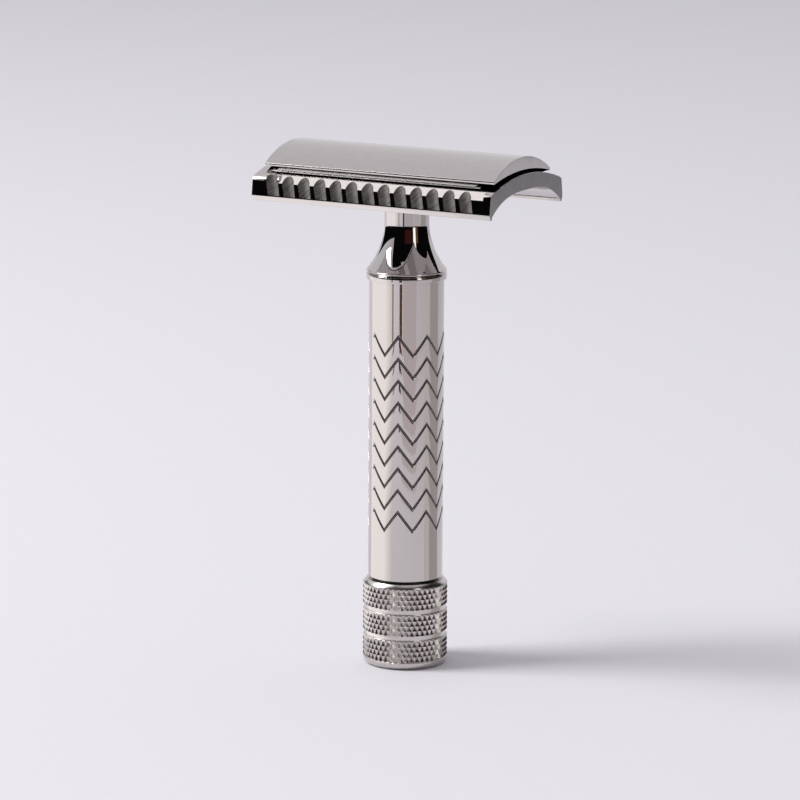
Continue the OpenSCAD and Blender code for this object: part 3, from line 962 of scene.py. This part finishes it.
@dataclass
class Barrel:
    """The handle tube with rows of engraved zigzags, except over one plain leg of each row."""

    bore: float = 4.6
    chamfer: float = 0.08
    rows: int = 9
    row_pitch: float = 3.73
    top_peak: float = 57.0
    swing: float = 3.3
    legs: int = 16
    leg_columns: int = 8
    first_peak: float = -28.0
    groove_width: float = 0.46
    groove_depth: float = 0.28
    # Half of a groove's flat floor, and the strip beside it that starts to dip
    groove_floor: float = 0.06
    groove_brim: float = 0.05
    brim_depth: float = 0.012
    plain_above: float = 4.5

    def build(self) -> None:
        """Makes the barrel on a grid whose columns meet every peak and trough.

        Each ring is a height, a depth and its share of the zigzag's swing.
        """
        low, high = cad_corners("barrel")
        radius = high.x
        leg = 360 / self.legs
        arc_length = math.radians(leg) * radius
        half = self.groove_width / 2 * math.hypot(arc_length, self.swing) / arc_length
        edge = [(0.0, self.chamfer), (self.chamfer * 0.35, self.chamfer * 0.3), (self.chamfer, 0.0)]
        rings: list[Point3] = [(low.z + rise, depth, 0.0) for rise, depth in edge]
        bottom = self.top_peak - self.swing / 2 - (self.rows - 1) * self.row_pitch
        rings.append((bottom - self.plain_above, 0.0, 0.0))
        groove = [(half + self.groove_brim, 0.0), (half, self.brim_depth), (self.groove_floor, 1.0)]
        groove = [(-offset, depth) for offset, depth in groove] + groove[::-1]
        for i in range(self.rows):
            middle = bottom + i * self.row_pitch
            rings += [(middle + offset, -depth * self.groove_depth, 1.0) for offset, depth in groove]
            if i < self.rows - 1:
                rings.append((middle + self.row_pitch / 2, 0.0, 1.0))
        rings.append((bottom + (self.rows - 1) * self.row_pitch + self.plain_above, 0.0, 0.0))
        rings += [(high.z - fall, depth, 0.0) for fall, depth in edge[::-1]]
        points: list[Point3] = []
        columns = self.legs * self.leg_columns
        for j in range(columns):
            leg_number, part = divmod(j, self.leg_columns)
            part /= self.leg_columns
            angle = math.radians(self.first_peak + leg * (leg_number + part))
            wave = self.swing * (0.5 - part if leg_number % 2 == 0 else part - 0.5)
            plain = leg_number == self.legs - 1 and part > 0
            for z, depth, weight in rings:
                r = radius + (0.0 if plain else depth) if weight else radius - depth
                points.append(around(r, angle, z + weight * wave))
            points += [around(self.bore, angle, z) for z in (high.z, low.z)]
        height = len(rings) + 2
        faces: Faces = [(j * height + i, (j + 1) % columns * height + i,
                         (j + 1) % columns * height + (i + 1) % height, j * height + (i + 1) % height)
                        for j in range(columns) for i in range(height)]
        data = Shell(points, faces).mesh("barrel_engraved", CHROME_TURNED, CHROME_ENGRAVED_PAINTED_SHADE)
        # Faces sunk into the grooves take the engraved finish, whose dark colour is painted shade
        for face in data.polygons:
            sunk = radius - math.hypot(face.center.x, face.center.y) / MM
            face.material_index = int(self.chamfer < sunk < self.groove_depth + self.groove_brim)
        place_piece(fit_object("barrel_engraved", data, sharp=22), "handle", "barrel_chrome", "barrel")


# Width of a knurl's worn flat top, as a part of its foot
KNURL_FLAT = 0.09


@dataclass
class Knob:
    """The twist knob: a turned core with bevel, plain grooves and rounded foot, and three knurled bands."""

    radius: float = 7.15
    foot_edge: float = 1.2
    foot_height: float = 1.3
    bevel_width: float = 0.65
    bevel_height: float = 0.7
    bands: int = 3
    groove_height: float = 0.75
    groove_depth: float = 0.36
    knurl_depth: float = 0.3
    knurls: int = 46
    knurl_height: float = 1.7
    recess: float = 2.88
    recess_height: float = 2.4
    screw_hole: float = 1.58
    web: float = 1.2
    rod_bore: float = 2.2
    sides: int = 138
    # How much of the foot's edge the rounding takes up, outwards and upwards
    foot_round: Point = (0.96, 0.85)
    shoulder_drop: float = 0.04
    shoulder_step: float = 0.08
    neck_step: float = 0.06
    fillet: float = 0.1
    ease: float = 0.02
    groove_round: float = 0.12
    rim_ease: float = 0.05
    knurl_sink: float = 0.015
    knurl_gap: float = 0.04

    def band_height(self, height: float) -> float:
        """The height of one knurled band."""
        plain = self.foot_height + self.bevel_height + (self.bands - 1) * self.groove_height
        return (height - plain) / self.bands

    def build(self) -> None:
        """Makes the core and the bands of knurling."""
        low, high = cad_corners("knob")
        height = high.z - low.z
        band = self.band_height(height)
        core = self.radius - self.knurl_depth
        shoulder = self.radius - self.shoulder_drop
        foot = self.radius - self.foot_edge
        wide, tall = self.foot_round
        outline = [(foot, low.z)]
        outline += [(foot + self.foot_edge * math.sin(t) * wide, self.foot_height * tall * (1 - math.cos(t)))
                    for t in (math.pi / 2 * k / 8 for k in range(1, 9))]
        outline += [(shoulder, self.foot_height - self.shoulder_step), (core, self.foot_height + self.fillet)]
        floor = self.radius - self.groove_depth
        for i in range(self.bands - 1):
            top = self.foot_height + band + i * (band + self.groove_height)
            end = top + self.groove_height
            outline += [(core, top - self.ease), (floor + self.ease, top + self.ease)]
            outline += [(floor, top + self.groove_round), (floor, end - self.groove_round)]
            outline += [(floor + self.ease, end - self.ease), (core, end + self.ease)]
        neck = height - self.bevel_height
        rim = self.radius - self.bevel_width
        web = self.recess_height + self.web
        outline += [(core, neck - self.neck_step), (shoulder, neck), (shoulder, neck + self.neck_step)]
        outline += [(rim + self.rim_ease, height - self.neck_step), (rim, height)]
        outline += [(self.rod_bore, height), (self.rod_bore, web)]
        outline += [(self.screw_hole, web), (self.screw_hole, self.recess_height)]
        outline += [(self.recess, self.recess_height), (self.recess, low.z + self.fillet)]
        outline.append((self.recess + self.fillet, low.z))
        data = lathe(outline, self.sides).mesh("knob_core", CHROME_SATIN)
        place_piece(fit_object("knob_core", data, sharp=50), "drive", "knob_chrome", "knob")
        for i in range(self.bands):
            start = self.foot_height + i * (band + self.groove_height)
            self.build_band(i, core, start, start + band)

    def build_band(self, number: int, core: float, bottom: float, top: float) -> None:
        """Makes one band of knurling.

        Args:
            number: The band's number, from the foot.
            core: The radius that the knurling stands on.
            bottom: The band's lower edge.
            top: The band's upper edge.
        """
        pitch = self.knurl_height / 2
        rows = math.floor((top - bottom) / pitch) + 1
        start = (top + bottom - (rows - 1) * pitch) / 2
        recipe = Recipe.begin(f"knurling_{number + 1}", {
            "Knurls around": self.knurls, "Rows": rows, "Core radius": (core - self.knurl_sink) * MM,
            "First row": start * MM, "Row pitch": pitch * MM,
            "Knurl depth": (self.knurl_depth + self.knurl_sink) * MM,
            "Knurl width": 2 * core * math.tan(math.pi / self.knurls) * MM,
            "Knurl height": self.knurl_height * MM, "Lower edge": (bottom + self.knurl_gap) * MM,
            "Upper edge": (top - self.knurl_gap) * MM, "Material": CHROME_SATIN.material()})
        knurling = self.knurl_steps(recipe)
        data = recipe.finish(knurling, Shell([], []).mesh("knurling", CHROME_SATIN))
        piece = fit_object(f"knob_knurling_{number + 1}", data, sharp=20)
        place_piece(piece, "drive", "knob_chrome")

    @staticmethod
    def knurl_steps(recipe: Recipe) -> bpy.types.NodeSocket:
        """Writes the steps that stand rows of small pyramids around the core.

        Args:
            recipe: The tree to write them in.

        Returns:
            The socket that carries the knurling.
        """
        node, source, sums = recipe.node, recipe.source, recipe.sum
        total = sums("MULTIPLY", source("Knurls around"), source("Rows"))
        points = node("GeometryNodePoints", {"Count": total})
        index = node("GeometryNodeInputIndex").outputs[0]
        row = sums("FLOOR", sums("DIVIDE", index, source("Knurls around")), 0.0)
        shifted = sums("MULTIPLY", sums("MODULO", row, 2.0), 0.5)
        place = sums("ADD", sums("MODULO", index, source("Knurls around")), shifted)
        turn = sums("MULTIPLY", sums("DIVIDE", place, source("Knurls around")), 2 * math.pi)
        radius = source("Core radius")
        x = sums("MULTIPLY", sums("SINE", turn, 0.0), radius)
        y = sums("MULTIPLY", sums("MULTIPLY", sums("COSINE", turn, 0.0), radius), -1.0)
        z = sums("ADD", sums("MULTIPLY", row, source("Row pitch")), source("First row"))
        spot = node("ShaderNodeCombineXYZ", {0: x, 1: y, 2: z})
        placed = node("GeometryNodeSetPosition", {
            "Geometry": points.outputs[0], "Position": spot.outputs[0]})
        pyramid = node("GeometryNodeMeshCone", {
            "Vertices": 4, "Radius Top": KNURL_FLAT / 2, "Radius Bottom": 0.5, "Depth": 1.0})
        size = node("ShaderNodeCombineXYZ", {
            0: source("Knurl width"), 1: source("Knurl height"), 2: source("Knurl depth")})
        facing = node("ShaderNodeCombineXYZ", {0: math.pi / 2, 2: turn})
        stood = node("GeometryNodeInstanceOnPoints", {
            "Points": placed.outputs[0], "Instance": pyramid.outputs[0],
            "Rotation": facing.outputs[0], "Scale": size.outputs[0]})
        real = node("GeometryNodeRealizeInstances", {0: stood.outputs[0]})
        here = node("ShaderNodeSeparateXYZ", {0: node("GeometryNodeInputPosition").outputs[0]})
        kept = node("ShaderNodeClamp", {
            "Value": here.outputs[2], "Min": source("Lower edge"), "Max": source("Upper edge")})
        inside = node("ShaderNodeCombineXYZ", {0: here.outputs[0], 1: here.outputs[1], 2: kept.outputs[0]})
        trimmed = node("GeometryNodeSetPosition", {
            "Geometry": real.outputs[0], "Position": inside.outputs[0]})
        dressed = node("GeometryNodeSetMaterial", {
            "Geometry": trimmed.outputs[0], "Material": source("Material")})
        return dressed.outputs[0]


@dataclass(frozen=True)
class Works:
    """The pieces inside and under the handle, whose shapes come with the frame."""

    finishes: tuple[tuple[str, Finish], ...] = (
        ("guide_pin_left", STUD_STEEL), ("guide_pin_right", STUD_STEEL),
        ("guide_bushing", TURNED_BRASS), ("threaded_socket", TURNED_BRASS),
        ("draw_rod", ROD_STEEL), ("cross_pin", ROD_STEEL),
        ("retaining_clip", SPRING_STEEL), ("wave_washer", SPRING_STEEL), ("knob_screw", SPRING_STEEL),
        ("thrust_washer", BLACK_ACETAL))

    def build(self) -> None:
        """Gives each piece its finish."""
        for name, finish in self.finishes:
            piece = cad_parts[name]
            piece.data.materials.clear()
            piece.data.materials.append(finish.material())
            LOG.info("%s: %s", name, finish.name)


# ---------------------------------------------------------------- the studio

@dataclass(frozen=True)
class Glow:
    """A plain surface of the studio that glows evenly, though it is no lamp; it paints light, shade or a
    reflection.
    """

    name: str
    colour: str
    strength: float

    def material(self) -> bpy.types.Material:
        """Builds the glowing material."""
        made = bpy.data.materials.new(self.name)
        made.use_nodes = True
        tree = made.node_tree
        tree.nodes.clear()
        shader = add_node(tree, "ShaderNodeEmission", {
            "Color": linear_colour(self.colour), "Strength": self.strength})
        add_node(tree, "ShaderNodeOutputMaterial", {"Surface": shader.outputs[0]})
        return made


# About how many degrees lie between two pairs of a curved card's corners
UPRIGHT_STEP = 4
FLOOR_STEP = 6


@dataclass
class Studio:
    """Floor, soft light from the left, a dark room in front with pale cards, and the camera.

    The cards are glowing sheets, no lamps, that only show in the razor's polished surfaces: painted
    reflections that stand for the light, the shade and the things of the room around it.
    """

    azimuth: float = 29.06
    elevation: float = 11.25
    roll: float = 0.27
    distance: float = 720.9
    aim_right: float = -1.02
    aim_height: float = 45.12
    lens: float = 193.26
    sensor: float = 36.0
    room: float = 640.0
    card_gap: float = 20.0
    floor_lift: float = 0.3
    floor_reach: float = 4000.0
    fibre_scale: float = 400.0
    pale_share: Point = (-0.3, 0.7)

    def towards(self, turn: float) -> Vector:
        """The level direction at an angle from the camera's, positive to the camera's right."""
        angle = math.radians(self.azimuth + turn)
        return Vector((math.sin(angle), -math.cos(angle), 0.0))

    def build_camera(self) -> None:
        """Makes the camera."""
        a, e = math.radians(self.azimuth), math.radians(self.elevation)
        back = Vector((math.sin(a) * math.cos(e), -math.cos(a) * math.cos(e), math.sin(e)))
        right = Vector((math.cos(a), math.sin(a), 0.0))
        target = right * self.aim_right + Vector((0.0, 0.0, self.aim_height))
        data = bpy.data.cameras.new("studio_camera")
        data.lens = self.lens
        data.sensor_width = self.sensor
        data.clip_start, data.clip_end = 0.01, 20.0
        camera = linked_object("studio_camera", data)
        camera.location = (target + back * self.distance) * MM
        level = (-back).to_track_quat("-Z", "Y").to_matrix().to_4x4()
        turn = level.copy()
        spin = math.radians(self.roll)
        side, up = level.col[0].xyz, level.col[1].xyz
        turn.col[0].xyz = side * math.cos(spin) + up * math.sin(spin)
        turn.col[1].xyz = up * math.cos(spin) - side * math.sin(spin)
        camera.rotation_euler = turn.to_euler()
        bpy.context.scene.camera = camera

    def build_card(self, name: str, turns: Point, step: float, edges: tuple[Point, Point],
                   glow: Glow) -> None:
        """Makes a glowing card that curves around the razor and shows only in polished surfaces, as a painted
        reflection.

        Args:
            name: The card's name.
            turns: Its first and last angle from the camera's direction.
            step: About how many degrees lie between two pairs of its corners.
            edges: Each long edge's distance from the razor and height.
            glow: Its surface.
        """
        steps = max(2, round(abs(turns[1] - turns[0]) / step))
        points: list[Point3] = []
        for i in range(steps + 1):
            out = self.towards(turns[0] + (turns[1] - turns[0]) * i / steps)
            points += [tuple(out * distance + Vector((0, 0, height))) for distance, height in edges]
        faces: Faces = [(i, i + 1, i + 3, i + 2) for i in range(0, len(points) - 2, 2)]
        data = bpy.data.meshes.new(name)
        data.from_pydata([tuple(c * MM for c in p) for p in points], [], faces)
        data.materials.append(glow.material())
        card = linked_object(name, data)
        card.visible_camera = card.visible_diffuse = card.visible_shadow = False
        card.visible_transmission = card.visible_volume_scatter = False

    def build_light(self, name: str, turn: float, lift: float, distance: float, size: Point,
                    power: float, colour: str) -> None:
        """Makes a soft rectangular light that faces the razor.

        Args:
            name: The light's name.
            turn: Its angle from the camera's direction.
            lift: Its angle above the floor.
            distance: How far it stands from the razor.
            size: Its width and height.
            power: Its power in watts.
            colour: Its colour.
        """
        data = bpy.data.lights.new(name, "AREA")
        data.shape = "RECTANGLE"
        data.size, data.size_y = size[0] * MM, size[1] * MM
        data.energy = power
        data.color = linear_colour(colour)[:3]
        light = linked_object(name, data)
        rise = math.radians(lift)
        out = self.towards(turn) * math.cos(rise) + Vector((0, 0, math.sin(rise)))
        light.location = (out * distance + Vector((0, 0, self.aim_height))) * MM
        light.rotation_euler = (-out).to_track_quat("-Z", "Y").to_euler()

    def build_floor(self) -> None:
        """Makes the pale floor of matt paper, whose fibres tint it a little."""
        made = bpy.data.materials.new("matt_pale_paper")
        made.use_nodes = True
        tree = made.node_tree
        tree.nodes.clear()
        place = add_node(tree, "ShaderNodeTexCoord").outputs["Object"]
        fibre = add_node(tree, "ShaderNodeTexNoise", {
            "Vector": place, "Scale": self.fibre_scale, "Detail": 3.0})
        tint = add_node(tree, "ShaderNodeMix", {
            0: fibre.outputs[0], 6: linear_colour("D1D1D8"), 7: linear_colour("D3D3DA")},
            data_type="RGBA")
        shader = add_node(tree, "ShaderNodeBsdfDiffuse", {"Color": tint.outputs[2]})
        add_node(tree, "ShaderNodeOutputMaterial", {"Surface": shader.outputs[0]})
        data = bpy.data.meshes.new("studio_floor")
        corners = [(x * self.floor_reach * MM, y * self.floor_reach * MM, 0.0)
                   for x, y in ((-1, -1), (1, -1), (1, 1), (-1, 1))]
        data.from_pydata(corners, [], [(0, 1, 2, 3)])
        data.materials.append(made)
        linked_object("studio_floor", data)

    def build_world(self) -> None:
        """Makes the even light of the room, paler behind the razor than above and in front of it."""
        world = bpy.data.worlds.new("pale_room")
        bpy.context.scene.world = world
        world.use_nodes = True
        tree = world.node_tree
        tree.nodes.clear()
        way = add_node(tree, "ShaderNodeTexCoord").outputs["Generated"]
        front = add_node(tree, "ShaderNodeVectorMath", {0: way, 1: tuple(self.towards(0))},
                         operation="DOT_PRODUCT")
        share = add_node(tree, "ShaderNodeMapRange", {
            "Value": front.outputs["Value"], "From Min": self.pale_share[0], "From Max": self.pale_share[1]})
        tint = add_node(tree, "ShaderNodeMix", {
            0: share.outputs[0], 6: linear_colour("E2E0E2"), 7: linear_colour("B9B2B3")},
            data_type="RGBA")
        shine = add_node(tree, "ShaderNodeBackground", {"Color": tint.outputs[2], "Strength": 1.0})
        add_node(tree, "ShaderNodeOutputWorld", {"Surface": shine.outputs[0]})

    def build(self) -> None:
        """Makes the whole studio."""
        self.build_camera()
        self.build_floor()
        self.build_world()
        self.build_light("key_softbox", -87, 42, 1500, (560, 1150), 22.5, "FFFDFA")
        # Glowing cards that paint the room's reflections: near-black sheets for the dark room in front, and a
        # window, a wooden strip, a warm shelf and a white reflector
        dark = Glow("painted_dark_reflection", "0A0A0B", 1.0)
        far, near = self.room, self.room - self.card_gap
        for name, turns, distance, heights, glow in (
                ("dark_front", (-64, 126), far, (-30, 800), dark),
                ("window_strip", (31, 43), near, (20, 520), Glow("window", "FFFDF8", 1.7)),
                ("wood_strip", (44, 55), near, (0, 260), Glow("wood", "8A6848", 0.7)),
                ("warm_shelf", (-10, 22), near, (60, 300), Glow("painted_warm_reflection", "47201C", 0.8)),
                ("dark_left", (-145, -64), far, (-30, 170), dark),
                ("dark_tall", (-64, -25), far, (790, 1750), dark),
                ("overhead_reflector", (-134, -66), near, (760, 1600),
                 Glow("white_reflector", "FFFCFC", 1.35))):
            self.build_card(name, turns, UPRIGHT_STEP, ((distance, heights[0]), (distance, heights[1])), glow)
        # Glowing cards on the floor that show only in reflections: painted light where the floor is lit on
        # the left, dimming to the right; painted shade of the floor in front and of the razor's shadow on the
        # right; and painted reflections of brown things further off
        for name, turns, close, glow in (
                ("floor_left", (-128, -64), 12, Glow("painted_lit_floor", "FFFCFC", 1.3)),
                ("floor_left_fade", (-64, -57), 12, Glow("painted_lit_floor_fading", "FFFCFC", 1.18)),
                ("floor_left_end", (-57, -50), 12, Glow("painted_lit_floor_dimmer", "FFFCFC", 1.06)),
                ("floor_left_edge", (-50, -44), 12, Glow("painted_lit_floor_end", "FFFCFC", 0.94)),
                ("floor_brown_edge", (-44, -40), 290, Glow("painted_thin_brown_reflection", "9A7A68", 1.0)),
                ("floor_shade", (-10, 30), 170, Glow("mauve_shade", "D2C9CB", 1.0)),
                ("floor_right", (58, 76), 12, Glow("right_shade", "D8D3D5", 1.0)),
                ("floor_far_right", (76, 112), 12, Glow("far_right_shade", "B6B0B2", 1.0)),
                ("floor_copper", (-21, -13), 265, Glow("painted_copper_reflection", "7A503C", 0.6))):
            edges = ((close, self.floor_lift), (near, self.floor_lift))
            self.build_card(name, turns, FLOOR_STEP, edges, glow)


def main() -> None:
    """Builds the studio and the razor, from the head down to the knob."""
    logging.basicConfig(level=logging.INFO, format="%(name)s %(message)s")
    scene = bpy.context.scene
    scene.view_settings.view_transform = "Standard"
    scene.view_settings.look = "None"
    for part in (Studio(), Cap(), Blade(), GuardPlate(), Neck(), Barrel(), Knob(), Works()):
        part.build()
        LOG.info("built %s", type(part).__name__)


if __name__ == "__main__":
    main()
